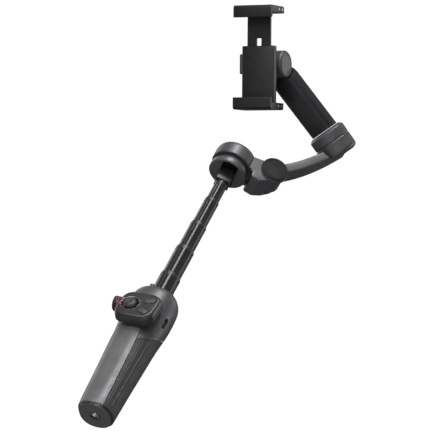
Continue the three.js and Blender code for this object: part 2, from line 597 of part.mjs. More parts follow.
function buildRollArm(parent) {
  const roll = group(parent, [0, 0, 0]);
  const length = ROLL_ROTOR_LENGTH;
  const rotor = revolve([[0, 0], [ROLL_RADIUS - 0.5, 0], [ROLL_RADIUS, 0.5], [ROLL_RADIUS, length - 2.2],
    [ROLL_RADIUS - 2.4, length], [0, length]], 40)
    .subtract(rod(3.3, -1, 4, 20));
  roll.add(piece('roll_rotor_housing', rotor, GRAY_PLASTIC));
  roll.add(piece('roll_motor_shaft', rod(3, -7.6, 3.7, 20), BARE_METAL));

  const tiltTurn = [CLAMP_PITCH, -TILT_AXIS_ELEVATION, TILT_AXIS_AZIMUTH];
  const tilt = groupInObjectFrame(roll, TILT_CENTRE, tiltTurn);
  tilt.updateMatrix();
  const tiltInverse = tilt.matrix.clone().invert();
  const start = new THREE.Vector3(0, 0, length + GAP).applyMatrix4(tiltInverse);
  const finishPoint = new THREE.Vector3(4.5, 2.5, -3);
  const heading = finishPoint.clone().sub(start);
  const span = heading.length();
  heading.normalize();
  const direction = new THREE.Quaternion().setFromUnitVectors(new THREE.Vector3(0, 0, 1), heading);
  const lay = new THREE.Matrix4().compose(start, direction, new THREE.Vector3(1, 1, 1));
  const housing = placed(revolve([[0, -3.5], [TILT_RADIUS - 0.8, -3.5], [TILT_RADIUS, -2.7],
    [TILT_RADIUS, 12.6],
    [TILT_RADIUS - 1.6, 14], [0, 14]], 32).subtract(rod(9.4, -10, 8, 28)), [0, 0, 0], [0, 90, 0]);
  const faceCut = solid(new THREE.BoxGeometry(80, 80, 40).translate(0, 0, -20 + length + GAP)
    .applyMatrix4(tiltInverse));
  const section = roundedRectangle(10.3, 9.2, 6);
  const beam = slab(section, -14, span).transform(lay.toArray())
    .subtract(faceCut)
    .subtract(placed(rod(TILT_RADIUS + GAP, -40, 40, 32), [0, 0, 0], [0, 90, 0]));
  tilt.add(piece('tilt_motor_housing', housing, GRAY_PLASTIC));
  tilt.add(piece('roll_arm', largestOf(beam), BLACK_PLASTIC));
  tilt.add(piece('tilt_motor_coil', placed(tube(9.1, 4, -2.8, 7.4, 28), [0, 0, 0], [0, 90, 0]), COPPER));
  return tilt;
}

function largestOf(shape) {
  const parts = shape.decompose();
  return parts.sort((a, b) => b.volume() - a.volume())[0];
}

// ---- clamp --------------------------------------------------------------------------

function jaw(side) {
  const outline = new THREE.Shape();
  const lipThick = 3.3;
  outline.moveTo(JAW_FRONT, -LIP_OVERHANG);
  outline.lineTo(JAW_FRONT + lipThick, -LIP_OVERHANG);
  outline.lineTo(JAW_FRONT + lipThick, 0);
  outline.lineTo(JAW_BACK, 0);
  outline.lineTo(JAW_BACK, JAW_THICK - 1.5);
  outline.lineTo(JAW_BACK - 1.5, JAW_THICK);
  outline.lineTo(JAW_FRONT + 1.5, JAW_THICK);
  outline.lineTo(JAW_FRONT, JAW_THICK - 1.5);
  const body = placed(slab(outline, -JAW_HALF_WIDTH, JAW_HALF_WIDTH), [0, 0, 0], [90, 0, 90]);
  return side > 0 ? body : body.mirror([0, 0, 1]);
}

function buildClamp(parent) {
  const clamp = group(parent, [0, 0, 0]);
  const top = PHONE_MIDDLE[2] + PHONE_HEIGHT / 2;
  const bottom = PHONE_MIDDLE[2] - PHONE_HEIGHT / 2;
  const phoneBack = PHONE_MIDDLE[1] + PHONE_THICK / 2;

  const rotor = placed(revolve([[0, 3.8], [3.4, 3.8], [3.4, 10], [TILT_RADIUS, 10], [TILT_RADIUS, 19],
    [TILT_RADIUS - 1, 20], [0, 20]], 32), [0, 0, 0], [0, -90, 0]);
  const bracket = block([-19, phoneBack + 6.4, -8], [-10.5, -4, 8]);
  const rotorSolid = rotor.add(bracket).subtract(placed(rod(2, -30, 0, 16), [0, 0, 0], [0, 90, 0]));
  clamp.add(piece('tilt_rotor_bracket', rotorSolid, GRAY_PLASTIC));
  clamp.add(piece('tilt_motor_shaft', placed(rod(1.7, -19, 6, 16), [0, 0, 0], [0, 90, 0]), BARE_METAL));

  const backPlate = block([-14, phoneBack + 0.5, bottom - JAW_THICK], [14, phoneBack + 6.1, 14]);
  const carriageRoom = block([-10.4, phoneBack + 1.7, bottom + 3], [10.4, phoneBack + 4.5, 30]);
  const springRoom = placed(rod(2.2, -36, 30, 16), [0, phoneBack + 3.1, 0]);
  const lowerJaw = placed(jaw(-1), [0, 0, bottom]);
  const body = backPlate.add(lowerJaw).subtract(carriageRoom)
    .subtract(springRoom.intersect(block([-3, -40, bottom + 2], [3, 0, 20])));
  clamp.add(piece('clamp_body', body, BLACK_PLASTIC));
  const padBox = (z) => block([-13, JAW_FRONT + 4, z], [13, phoneBack - 0.6, z + PAD_THICK]);
  clamp.add(piece('lower_jaw_pad', padBox(bottom + GAP), RUBBER));

  const slider = group(clamp, [0, 0, 0]);
  const carriage = block([-10, phoneBack + 2, -15], [10, phoneBack + 4.2, top + 1]);
  const springSlot = block([-2.2, phoneBack, -16], [2.2, phoneBack + 6, 20]);
  const upperJaw = placed(jaw(1), [0, 0, top]);
  slider.add(piece('upper_jaw', carriage.subtract(springSlot).add(upperJaw), BLACK_PLASTIC));
  slider.add(piece('upper_jaw_pad', padBox(top - GAP - PAD_THICK), RUBBER));
  const spring = placed(tube(1.7, 1, bottom + 4, 2.5, 12), [0, phoneBack + 3.1, 0]);
  clamp.add(piece('clamp_spring', spring, BARE_METAL));
}

buildHandle(gimbal);
buildRemote(gimbal);
const rodEnd = buildRod(gimbal);
const panBase = buildPanBase(rodEnd);
const panHead = buildPanHead(panBase);
const rollMotor = buildSwingArm(panHead);
const tiltFrame = buildRollArm(rollMotor);
buildClamp(tiltFrame);

export default gimbal;
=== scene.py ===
import json
import math

import bmesh
import bpy
from mathutils import Matrix, Vector


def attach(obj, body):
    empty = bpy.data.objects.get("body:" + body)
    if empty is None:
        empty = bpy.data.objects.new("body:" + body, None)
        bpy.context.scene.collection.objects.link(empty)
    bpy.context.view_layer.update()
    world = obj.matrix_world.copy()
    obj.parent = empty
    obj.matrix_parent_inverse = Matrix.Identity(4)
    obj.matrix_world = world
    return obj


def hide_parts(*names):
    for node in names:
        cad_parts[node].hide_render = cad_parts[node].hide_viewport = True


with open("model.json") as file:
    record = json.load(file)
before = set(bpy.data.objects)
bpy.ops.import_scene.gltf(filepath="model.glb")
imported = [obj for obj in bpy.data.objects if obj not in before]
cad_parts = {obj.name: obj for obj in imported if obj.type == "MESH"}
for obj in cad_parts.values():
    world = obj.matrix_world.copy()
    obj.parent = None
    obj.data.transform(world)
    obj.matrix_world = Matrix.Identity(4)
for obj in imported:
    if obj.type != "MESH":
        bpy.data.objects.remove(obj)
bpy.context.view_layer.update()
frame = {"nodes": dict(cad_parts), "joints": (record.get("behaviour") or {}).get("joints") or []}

MM = 0.001
joints = {j["name"]: j for j in frame["joints"]}

# ---- handle dimensions, millimetres ---------------------------------------------------

HANDLE_STATIONS = [
    (0, 13.1, 13.2), (1, 13.8, 13.8), (2.6, 14.2, 14.1), (14, 14.7, 14.2), (30, 15.3, 14.5),
    (57, 16.5, 15.4), (76, 17.4, 16.1), (86, 18.3, 16.9), (94, 19.0, 17.6), (104, 19.2, 17.7),
    (112, 18.9, 17.4), (117, 18.2, 16.7), (120.5, 16.5, 15.2), (122.8, 14.4, 13.2), (124, 12.2, 11.4),
]
SQUARENESS = 2.25
STRIP_RIGHT = (8.6, 7.4)       # the front strip's edges at the base and at its top
STRIP_LEFT = (-12.2, -14.4)
STRIP_TOP = 79
RUBBER_TOP = 81
RUBBER_SLOPE = 41
SEAM = 0.22
BASE_HALF_X, BASE_HALF_Y = HANDLE_STATIONS[0][1:]
SEAT_HALF_X, SEAT_HALF_Y = 12.65, 12.75       # room for the base cap
STRIP_MIDDLE = 262             # degrees round the handle
CHANNEL_HALF = 22
CHANNEL_DEPTH = 0.5
BEAD_HALF = 2.4
BEADS = ((309, 0.25), (314, 0.25), (330, 0.55), (210, 0.25))      # degrees, height


# ---- frames ---------------------------------------------------------------------------

def frame_at(origin, x, y, z):
    """Matrix from a local frame in millimetres to the object's frame in metres."""
    axes = Matrix((x, y, z)).transposed().to_4x4()
    return Matrix.Translation(Vector(origin)) @ axes @ Matrix.Scale(MM, 4)


def joint_axis(name):
    return Vector(joints[name]["axis"]).normalized()


def joint_at(name):
    return Vector(joints[name]["pos_m"])


UP = Vector((0, 0, 1))
HANDLE = frame_at((0, 0, 0), (1, 0, 0), (0, 1, 0), UP)

face_out = joint_axis("remote_detach")
face_right = Vector((1, 0, 0))
face_up = face_out.cross(face_right)
STICK = frame_at(joint_at("joystick_forward"), face_right, face_up, face_out)

fold_axis = joint_axis("arm_fold")
arm_out = fold_axis.cross(UP) * -1
PAN = frame_at(joint_at("pan"), arm_out, UP.cross(arm_out), UP)
FOLD = frame_at(joint_at("arm_fold"), arm_out, UP.cross(arm_out), UP)

roll_axis = joint_axis("roll")
roll_side = UP.cross(roll_axis).normalized()
ROLL = frame_at(joint_at("roll"), roll_side.cross(roll_axis), roll_side, roll_axis)

clamp_right = joint_axis("tilt")
clamp_up = joint_axis("jaw_slide")
CLAMP = frame_at(joint_at("tilt"), clamp_right, clamp_up.cross(clamp_right), clamp_up)


def turned(matrix, shift=(0, 0, 0), turn=(0, 0, 0)):
    """A frame moved and turned (degrees about X, then Y, then Z) inside another frame."""
    rx, ry, rz = (math.radians(angle) for angle in turn)
    spin = Matrix.Rotation(rz, 4, "Z") @ Matrix.Rotation(ry, 4, "Y") @ Matrix.Rotation(rx, 4, "X")
    return matrix @ Matrix.Translation(Vector(shift)) @ spin


ALONG_X = (0, 90, 0)
ALONG_MINUS_Y = (90, 0, 0)
SIDE_VIEW = (90, 0, 90)      # outline x -> local y, outline y -> local z, depth -> local x


# ---- mesh helpers -----------------------------------------------------------------------

def mesh_object(name, points, faces, matrix):
    mesh = bpy.data.meshes.new(name)
    mesh.from_pydata([matrix @ Vector(p) for p in points], [], faces)
    mesh.validate()
    work = bmesh.new()
    work.from_mesh(mesh)
    bmesh.ops.remove_doubles(work, verts=work.verts, dist=1e-7)
    bmesh.ops.recalc_face_normals(work, faces=work.faces)
    work.to_mesh(mesh)
    work.free()
    obj = bpy.data.objects.new(name, mesh)
    bpy.context.scene.collection.objects.link(obj)
    return obj


def loft(name, rings, matrix, closed=False):
    """Skins rings of equal length. Closed joins the last ring to the first, for a hollow body."""
    count = len(rings[0])
    points = [p for ring in rings for p in ring]
    faces = []
    levels = len(rings)
    for level in range(levels if closed else levels - 1):
        low = level * count
        high = ((level + 1) % levels) * count
        for k in range(count):
            nxt = (k + 1) % count
            faces.append((low + k, low + nxt, high + nxt, high + k))
    if not closed:
        faces.append(tuple(reversed(range(count))))
        faces.append(tuple(range((levels - 1) * count, levels * count)))
    return mesh_object(name, points, faces, matrix)


def circle(radius, height, sides):
    step = 2 * math.pi / sides
    return [(radius * math.cos(k * step), radius * math.sin(k * step), height) for k in range(sides)]


def rounded_profile(corners, steps=4):
    """[radius, height, rounding] corners -> a profile with each corner rounded by an arc."""
    points = []
    last = len(corners) - 1
    for k, (r, z, rounding) in enumerate(corners):
        if rounding == 0 or k in (0, last):
            points.append((r, z))
            continue
        here = Vector((r, z))
        before = (Vector(corners[k - 1][:2]) - here).normalized()
        after = (Vector(corners[k + 1][:2]) - here).normalized()
        start = here + before * rounding
        end = here + after * rounding
        for s in range(steps + 1):
            t = s / steps
            points.append(tuple(start * (1 - t) ** 2 + here * 2 * t * (1 - t) + end * t ** 2))
    return points


def revolve(name, corners, matrix, sides=96):
    """Solid of revolution about local Z, from the axis to the axis."""
    profile = [p for p in rounded_profile(corners) if p[0] > 1e-6]
    return loft(name, [circle(r, z, sides) for r, z in profile], matrix)


def ring(name, corners, matrix, sides=96):
    """Hollow solid of revolution; the profile closes on itself."""
    profile = rounded_profile(corners + [corners[0]])[:-1]
    return loft(name, [circle(r, z, sides) for r, z in profile], matrix, closed=True)


def rod(name, radius, low, high, matrix, sides=48):
    return loft(name, [circle(radius, low, sides), circle(radius, high, sides)], matrix)


def slab(name, outline, low, high, matrix):
    rings = [[(x, y, z) for x, y in outline] for z in (low, high)]
    return loft(name, rings, matrix)


def block(name, low, high, matrix):
    x0, y0, z0 = low
    x1, y1, z1 = high
    return slab(name, [(x0, y0), (x1, y0), (x1, y1), (x0, y1)], z0, z1, matrix)


def rounded_rectangle(half_x, half_y, corner, steps=8):
    points = []
    for sx, sy, start in ((1, 1, 0), (-1, 1, 90), (-1, -1, 180), (1, -1, 270)):
        for s in range(steps + 1):
            angle = math.radians(start + 90 * s / steps)
            points.append((sx * (half_x - corner) + corner * math.cos(angle),
                           sy * (half_y - corner) + corner * math.sin(angle)))
    return points


def soft_slab(name, half_x, half_y, corner, low, high, edge, matrix, steps=5, dome=0.0):
    """Rounded plate whose top edge is rounded over by edge; dome lifts the middle of its top."""
    rings = [[(x, y, low) for x, y in rounded_rectangle(half_x, half_y, corner)]]
    for s in range(steps + 1):
        angle = math.radians(90 * s / steps)
        inset = edge * (1 - math.cos(angle))
        z = high - edge + edge * math.sin(angle)
        rings.append([(x, y, z) for x, y in
                      rounded_rectangle(half_x - inset, half_y - inset, max(corner - inset, 0.05))])
    for s in (0.75, 0.5, 0.25, 0.08):
        flat_x = half_x - edge
        flat_y = half_y - edge
        z = high + dome * (1 - s * s)
        rings.append([(x * s, y * s, z) for x, y in
                      rounded_rectangle(flat_x, flat_y, max(corner - edge, 0.05))])
    return loft(name, rings, matrix)


def combine(target, other, operation):
    modifier = target.modifiers.new("cut", "BOOLEAN")
    modifier.operation = operation
    modifier.solver = "EXACT"
    modifier.object = other
    baked = bpy.data.meshes.new_from_object(target.evaluated_get(bpy.context.evaluated_depsgraph_get()))
    target.modifiers.clear()
    target.data = baked
    bpy.data.objects.remove(other)
    return target


def cut(target, *others):
    for other in others:
        combine(target, other, "DIFFERENCE")
    return target


def join(target, *others):
    for other in others:
        combine(target, other, "UNION")
    return target


def keep(target, other):
    return combine(target, other, "INTERSECT")


def bevelled(obj, width, segments=3, angle=35):
    modifier = obj.modifiers.new("edge", "BEVEL")
    modifier.width = width * MM
    modifier.segments = segments
    modifier.limit_method = "ANGLE"
    modifier.angle_limit = math.radians(angle)
    modifier.harden_normals = False
    return obj


def piece(obj, body, material, replaces=(), sharp=32):
    """Finishes a visible piece: smooth shading, material, body and the CAD nodes it stands for."""
    if obj.modifiers:
        obj.data = bpy.data.meshes.new_from_object(
            obj.evaluated_get(bpy.context.evaluated_depsgraph_get()))
        obj.modifiers.clear()
    obj.data.polygons.foreach_set("use_smooth", [True] * len(obj.data.polygons))
    obj.data.set_sharp_from_angle(angle=math.radians(sharp))
    obj.data.materials.clear()
    obj.data.materials.append(material)
    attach(obj, body)
    if replaces:
        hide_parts(*replaces)
    return obj


# ---- materials --------------------------------------------------------------------------

def surface(slot, color, roughness, metallic=0.0, grain=2600.0, grain_depth=0.05, vary=0.12,
            wear=0.12, wear_color=None, coat=0.0, sheen=0.0, streak=None, gloss=0.5):
    """Moulded or turned surface: colour variation, grain bump, uneven gloss and worn edges."""
    material = bpy.data.materials.new(slot)
    material["slot"] = slot
    material.use_nodes = True
    tree = material.node_tree
    links = tree.links
    shader = tree.nodes["Principled BSDF"]
    shader.inputs["Metallic"].default_value = metallic
    shader.inputs["Specular IOR Level"].default_value = gloss
    shader.inputs["Coat Weight"].default_value = coat
    shader.inputs["Coat Roughness"].default_value = 0.2
    shader.inputs["Sheen Weight"].default_value = sheen
    shader.inputs["Sheen Roughness"].default_value = 0.4

    place = tree.nodes.new("ShaderNodeTexCoord")
    stretch = tree.nodes.new("ShaderNodeMapping")
    stretch.inputs["Scale"].default_value = streak or (1, 1, 1)
    links.new(place.outputs["Object"], stretch.inputs["Vector"])

    def noise(scale, detail, stretched=True):
        node = tree.nodes.new("ShaderNodeTexNoise")
        node.inputs["Scale"].default_value = scale
        node.inputs["Detail"].default_value = detail
        source = stretch if stretched else place
        links.new(source.outputs[0 if stretched else "Object"], node.inputs["Vector"])
        return node

    def between(source, low, high, from_low=0.3, from_high=0.7):
        node = tree.nodes.new("ShaderNodeMapRange")
        node.inputs["From Min"].default_value = from_low
        node.inputs["From Max"].default_value = from_high
        node.inputs["To Min"].default_value = low
        node.inputs["To Max"].default_value = high
        links.new(source, node.inputs["Value"])
        return node.outputs["Result"]

    cloud = noise(60, 4)
    tint = tree.nodes.new("ShaderNodeMix")
    tint.data_type = "RGBA"
    tint.inputs["A"].default_value = [c * (1 - vary) for c in color] + [1]
    tint.inputs["B"].default_value = [min(1, c * (1 + vary)) for c in color] + [1]
    links.new(between(cloud.outputs["Fac"], 0, 1), tint.inputs["Factor"])

    edge = tree.nodes.new("ShaderNodeNewGeometry")
    worn = tree.nodes.new("ShaderNodeMath")
    worn.operation = "MULTIPLY"
    scuff = noise(420, 3, False)
    links.new(between(edge.outputs["Pointiness"], 0, wear, 0.52, 0.60), worn.inputs[0])
    links.new(between(scuff.outputs["Fac"], 0.2, 1, 0.4, 0.65), worn.inputs[1])
    blend = tree.nodes.new("ShaderNodeMix")
    blend.data_type = "RGBA"
    blend.inputs["B"].default_value = list(wear_color or [min(1, c * 1.8 + 0.01) for c in color]) + [1]
    links.new(tint.outputs["Result"], blend.inputs["A"])
    links.new(worn.outputs[0], blend.inputs["Factor"])
    links.new(blend.outputs["Result"], shader.inputs["Base Color"])

    smear = noise(140, 5)
    links.new(between(smear.outputs["Fac"], roughness * 0.88, min(1, roughness * 1.14)),
              shader.inputs["Roughness"])

    fine = noise(grain, 2)
    bump = tree.nodes.new("ShaderNodeBump")
    bump.inputs["Strength"].default_value = grain_depth
    bump.inputs["Distance"].default_value = 0.0002
    links.new(fine.outputs["Fac"], bump.inputs["Height"])
    links.new(bump.outputs["Normal"], shader.inputs["Normal"])
    return material


SATIN_STRIP = surface("satin_strip", (0.125, 0.125, 0.128), 0.50, 0.35, grain=3200, grain_depth=0.01,
                      wear=0.0)
GRIP_RUBBER = surface("grip_rubber", (0.022, 0.022, 0.023), 0.62, grain=1500, grain_depth=0.25, sheen=0.1)
GRAY_SHELL = surface("gray_shell", (0.078, 0.076, 0.080), 0.44, 0.45, grain_depth=0.015)
CAP_GRAY = surface("cap_gray", (0.072, 0.072, 0.072), 0.55, grain=1800, grain_depth=0.1)
BARE_STEEL = surface("bare_steel", (0.50, 0.50, 0.52), 0.30, 1.0, streak=(1, 1, 12), wear=0.1)
CELL_WRAP = surface("cell_wrap", (0.05, 0.16, 0.42), 0.35)
BOARD = surface("circuit_board", (0.3, 0.14, 0.06), 0.40)
BLACK_PLASTIC = surface("black_plastic", (0.012, 0.012, 0.013), 0.42, grain_depth=0.08)
BUTTON_GRAY = surface("button_gray", (0.050, 0.050, 0.053), 0.38, 0.1)
RED_RING = surface("red_ring", (0.20, 0.008, 0.022), 0.35, coat=0.3)
DIAL_BLACK = surface("dial_black", (0.014, 0.014, 0.015), 0.50)
REMOTE_GRAY = surface("remote_gray", (0.038, 0.038, 0.040), 0.36, 0.4, grain_depth=0.02)
STICK_METAL = surface("bare_steel", (0.24, 0.24, 0.25), 0.34, 1.0, wear=0.1)
STICK_BLACK = surface("stick_black", (0.020, 0.020, 0.021), 0.48, grain_depth=0.15)
ROD_DARK = surface("rod_dark", (0.026, 0.026, 0.027), 0.30, 0.5, grain_depth=0.01)
COPPER = surface("copper_coil", (0.60, 0.27, 0.10), 0.35, 1.0)
CAP_RUBBER = surface("cap_rubber", (0.016, 0.016, 0.017), 0.75, grain=1500, grain_depth=0.2, vary=0.3,
                     gloss=0.18)
ARM_DARK = surface("arm_dark", (0.022, 0.022, 0.024), 0.34, 0.5)
CLAMP_BLACK = surface("clamp_black", (0.011, 0.0105, 0.0105), 0.42, grain_depth=0.05, gloss=0.35)
PAD_RUBBER = surface("pad_rubber", (0.020, 0.020, 0.020), 0.70, grain=1500, grain_depth=0.2)


# ---- handle -----------------------------------------------------------------------------

def handle_size(z):
    """Half width and half depth of the handle at a height, smooth between the stations."""
    last = len(HANDLE_STATIONS) - 1
    z = min(max(z, HANDLE_STATIONS[0][0]), HANDLE_STATIONS[last][0])
    k = next(i for i in range(last) if z <= HANDLE_STATIONS[i + 1][0])
    before, low, high, after = (HANDLE_STATIONS[min(max(i, 0), last)] for i in (k - 1, k, k + 1, k + 2))
    span = high[0] - low[0]
    t = (z - low[0]) / span
    sizes = []
    for axis in (1, 2):
        slope = (high[axis] - low[axis]) / span
        slope_in = (high[axis] - before[axis]) / (high[0] - before[0]) if k else slope
        slope_out = (after[axis] - low[axis]) / (after[0] - low[0]) if k + 1 < last else slope
        sizes.append((2 * t ** 3 - 3 * t ** 2 + 1) * low[axis] + (t ** 3 - 2 * t ** 2 + t) * span * slope_in
                     + (3 * t ** 2 - 2 * t ** 3) * high[axis] + (t ** 3 - t ** 2) * span * slope_out)
    return sizes


def handle_ring(z, inset=0.0, sides=144, shape=None):
    half_x, half_y = handle_size(z)
    power = 2 / SQUARENESS
    points = []
    for k in range(sides):
        angle = 2 * math.pi * k / sides
        push = shape(angle, z) if shape else 0.0
        c = math.cos(angle)
        s = math.sin(angle)
        points.append(((half_x - inset + push) * math.copysign(abs(c) ** power, c),
                       (half_y - inset + push) * math.copysign(abs(s) ** power, s), z))
    return points


def handle_levels(low, high, count):
    return [low + (high - low) * k / count for k in range(count + 1)]


def hump(distance, half_width):
    """1 in the middle, falling smoothly to 0 at half_width."""
    return 0.5 + 0.5 * math.cos(math.pi * distance / half_width)


def grip_relief(angle, z):
    """Shape of the grip's skin: a shallow channel down the front strip and beads on the rubber."""
    degrees = math.degrees(angle)
    fade = min(1.0, max(0.0, (z - 3) / 6)) * min(1.0, max(0.0, (76 - z) / 8))
    push = 0.0
    from_strip = abs((degrees - STRIP_MIDDLE + 180) % 360 - 180)
    if from_strip < CHANNEL_HALF:
        push -= CHANNEL_DEPTH * hump(from_strip, CHANNEL_HALF)
    for bead, height in BEADS:
        distance = abs((degrees - bead + 180) % 360 - 180)
        if distance < BEAD_HALF:
            push += height * hump(distance, BEAD_HALF)
    return push * fade


def whole_handle(name):
    levels = [2.5, 3.2, 4.2] + handle_levels(6, 118, 40) + [119.5, 121, 122.3, 123.3, 124]
    rings = [[(x, y, z + lift) for x, y, _ in handle_ring(z, inset, 180)]
             for z, inset, lift in ((1.6, 1.2, 0), (1.65, 0.65, 0.05), (1.85, 0.2, 0.1))]
    rings += [handle_ring(z, 0, 180, grip_relief) for z in levels]
    outer = loft(name, rings, HANDLE)
    inner_levels = [2.3] + handle_levels(6, 114, 14) + [119]
    core = loft("core", [handle_ring(z, 2.2) for z in inner_levels], HANDLE)
    seat = loft("seat", [[(x * SEAT_HALF_X / BASE_HALF_X, y * SEAT_HALF_Y / BASE_HALF_Y, z)
                          for x, y, _ in handle_ring(0)] for z in (-1, 2.8)], HANDLE)
    return cut(outer, core, seat)


def below_slope(name, height):
    return block(name, (-80, -80, -200), (80, 80, 0), turned(HANDLE, (0, 0, height), (RUBBER_SLOPE, 0, 0)))


def strip_region(name, margin):
    outline = [(STRIP_LEFT[0] - margin, -2), (STRIP_RIGHT[0] + margin, -2),
               (STRIP_RIGHT[1] + margin, STRIP_TOP + margin), (STRIP_LEFT[1] - margin, STRIP_TOP + margin)]
    return slab(name, outline, 2, 40, turned(HANDLE, turn=ALONG_MINUS_Y))


def duplicate(obj, name):
    other = obj.copy()
    other.data = obj.data.copy()
    other.name = name
    bpy.context.scene.collection.objects.link(other)
    return other


def build_grip():
    shell = whole_handle("front_strip")
    rubber = duplicate(shell, "grip_rubber")
    head = duplicate(shell, "head_shell")
    keep(shell, strip_region("cutter", -SEAM))
    keep(rubber, below_slope("cutter", RUBBER_TOP - SEAM))
    cut(rubber, strip_region("cutter", SEAM))
    cut(head, below_slope("cutter", RUBBER_TOP + SEAM), strip_region("cutter", SEAM))
    piece(shell, "handle", SATIN_STRIP, ["grip_front_strip"])
    piece(rubber, "handle", GRIP_RUBBER, ["grip_rubber_sleeve"])
    return head


REMOTE = turned(STICK, (5.8, 0.6, -3.4))
DIAL = turned(HANDLE, (-20.6, -8.5, 103), (0, -90, 0))
PORT = turned(HANDLE, (0, 0, 94), (0, 90, -18))
POWER = turned(HANDLE, (-3.2, -12.6, 121))
TRIGGER = turned(HANDLE, (0, 17.2, 104))
TRIGGER_PIN = turned(HANDLE, (0, 16, 108.6), ALONG_X)


def plate(name, half_x, half_y, corner, low, high, matrix):
    return slab(name, rounded_rectangle(half_x, half_y, corner), low, high, matrix)


def curve_points(a, b, c, steps=8):
    a, b, c = Vector(a), Vector(b), Vector(c)
    return [tuple(a * (1 - t) ** 2 + b * 2 * t * (1 - t) + c * t * t)
            for t in (k / steps for k in range(steps + 1))]


def build_head(head):
    seat_wall = plate("cutter", 15, 14, 8, -2.4, -0.4, REMOTE)
    keep(seat_wall, loft("cutter", [handle_ring(z) for z in handle_levels(60, 122, 20)], HANDLE))
    cut(seat_wall, below_slope("cutter", RUBBER_TOP + SEAM), strip_region("cutter", SEAM))
    join(head, seat_wall, rod("cutter", 4.2, -3.6, 0.2, DIAL))
    cut(head, plate("cutter", 16.6, 15.6, 9.6, -0.4, 20, REMOTE),
        rod("cutter", 9.6, 100, 130, HANDLE, 96),
        block("cutter", (-5.6, 10, 95.5), (5.6, 30, 112.5), HANDLE),
        plate("cutter", 4.85, 1.95, 1.9, 0, 30, PORT),
        rod("cutter", 2.3, -11, 9, POWER),
        rod("cutter", 1.9, -10, 10, DIAL),
        rod("cutter", 1.3, -7.2, 7.2, TRIGGER_PIN))
    for side in (-1, 1):       # parting line between the front and back mouldings
        line = block("cutter", (-0.16, -0.16, 60), (0.16, 0.16, 117), turned(HANDLE, (0, 3.2, 0)))
        line.data.transform(Matrix.Translation((side * 0.0191, 0, 0)))
        cut(head, line)
    piece(bevelled(head, 0.25, 2, 50), "handle", GRAY_SHELL, ["head_housing"])


THREAD_PITCH = 1.27


def build_base():
    def oval(inset, z):
        return [(x * (BASE_HALF_X - inset) / BASE_HALF_X, y * (BASE_HALF_Y - inset) / BASE_HALF_Y, z)
                for x, y, _ in handle_ring(0, sides=120)]

    cap = loft("base_cap", [oval(0.55, 0), oval(0.42, 0.1), oval(0.42, 0.35), oval(0.9, 0.4), oval(0.9, 2.1)],
               HANDLE)
    cut(cap, rod("cutter", 4.5, -1, 5, HANDLE, 64))
    piece(cap, "handle", CAP_GRAY, ["base_cap"])
    # Black band round the cap's boss, between the base cap and the handle: painted shade for the shadow in
    # the groove there.
    painted_shade_band = loft("base_painted_shade_band", [oval(0.8, 0.40), oval(0.35, 0.40), oval(0.15, 1.2), oval(0.2, 1.7),
                                oval(0.88, 1.7), oval(0.88, 0.45)], HANDLE, closed=True)
    piece(painted_shade_band, "handle", BLACK_PLASTIC)
    flange = ring("thread_flange", [(3.5, 0.1, 0), (4.45, 0.1, 0.1), (4.45, 0.38, 0), (3.5, 0.38, 0)],
                  HANDLE, 64)
    piece(flange, "handle", BLACK_PLASTIC)
    thread = [(3.15, 0.4, 0), (4.2, 0.4, 0), (4.2, 2.4, 0), (6, 2.4, 0), (6, 8, 0), (3.2, 8, 0)]
    for k in range(5):
        top = 7.6 - k * THREAD_PITCH
        thread += [(3.12, top, 0), (3.6, top - THREAD_PITCH * 0.5, 0)]
    piece(ring("tripod_thread_insert", thread, HANDLE, 48), "handle", BARE_STEEL, ["tripod_thread_insert"])


def build_head_fittings():
    collar = ring("rod_collar", [(8.45, 120.3, 0), (9.3, 120.3, 0), (9.3, 124.3, 0), (10.5, 124.3, 0.1),
                                 (10.3, 125.0, 0.2), (9.8, 125.4, 0.2), (8.75, 125.4, 0.2), (8.45, 125.1, 0)],
                  HANDLE)
    piece(collar, "handle", GRAY_SHELL, ["rod_collar"])
    port = cut(plate("usb_c_port", 4.5, 1.6, 1.55, 16.6, 18.4, PORT),
               plate("cutter", 4.1, 1.2, 1.15, 17.0, 30, PORT))
    join(port, plate("tongue", 3.2, 0.32, 0.3, 16.9, 18.1, PORT))
    piece(port, "handle", BLACK_PLASTIC, ["usb_c_port"])
    button = revolve("power_button", [(0, -3, 0), (2, -3, 0), (2, 2.4, 0), (1.9, 2.9, 0.2), (1.55, 3.2, 0.2),
                                      (0.8, 3.38, 0.1), (0.3, 3.4, 0)], POWER, 48)
    piece(button, "power_key", BUTTON_GRAY, ["power_button"])


def knurled_wheel(name, matrix):
    ridges = 36
    sides = ridges * 8
    profile = [(2.3, 0.9), (2.3, 3.3), (5.5, 3.3), (5.9, 3.4), (6.0, 3.6), (6.0, 5.5), (5.75, 5.85),
               (5.2, 6.05), (4.4, 6.1), (4.2, 5.9), (1.6, 5.9), (1.4, 6.1), (0.3, 6.16)]
    rings = []
    for r, z in profile:
        depth = 0.38 if r > 5.6 else 0.0
        points = []
        for k in range(sides):
            angle = 2 * math.pi * k / sides
            wave = max(0.0, math.cos(angle * ridges)) ** 0.6
            radius = r - depth * wave
            points.append((radius * math.cos(angle), radius * math.sin(angle), z))
        rings.append(points)
    return loft(name, rings, matrix)


def build_dial():
    piece(knurled_wheel("side_dial", DIAL), "dial", DIAL_BLACK, ["side_dial"])
    red = ring("dial_red_ring", [(2.6, 0.9, 0), (5.5, 0.9, 0.2), (5.9, 1.3, 0.15), (5.9, 3.0, 0.15),
                                 (5.7, 3.2, 0.1), (2.6, 3.2, 0)], DIAL)
    piece(red, "dial", RED_RING, ["dial_red_ring"])


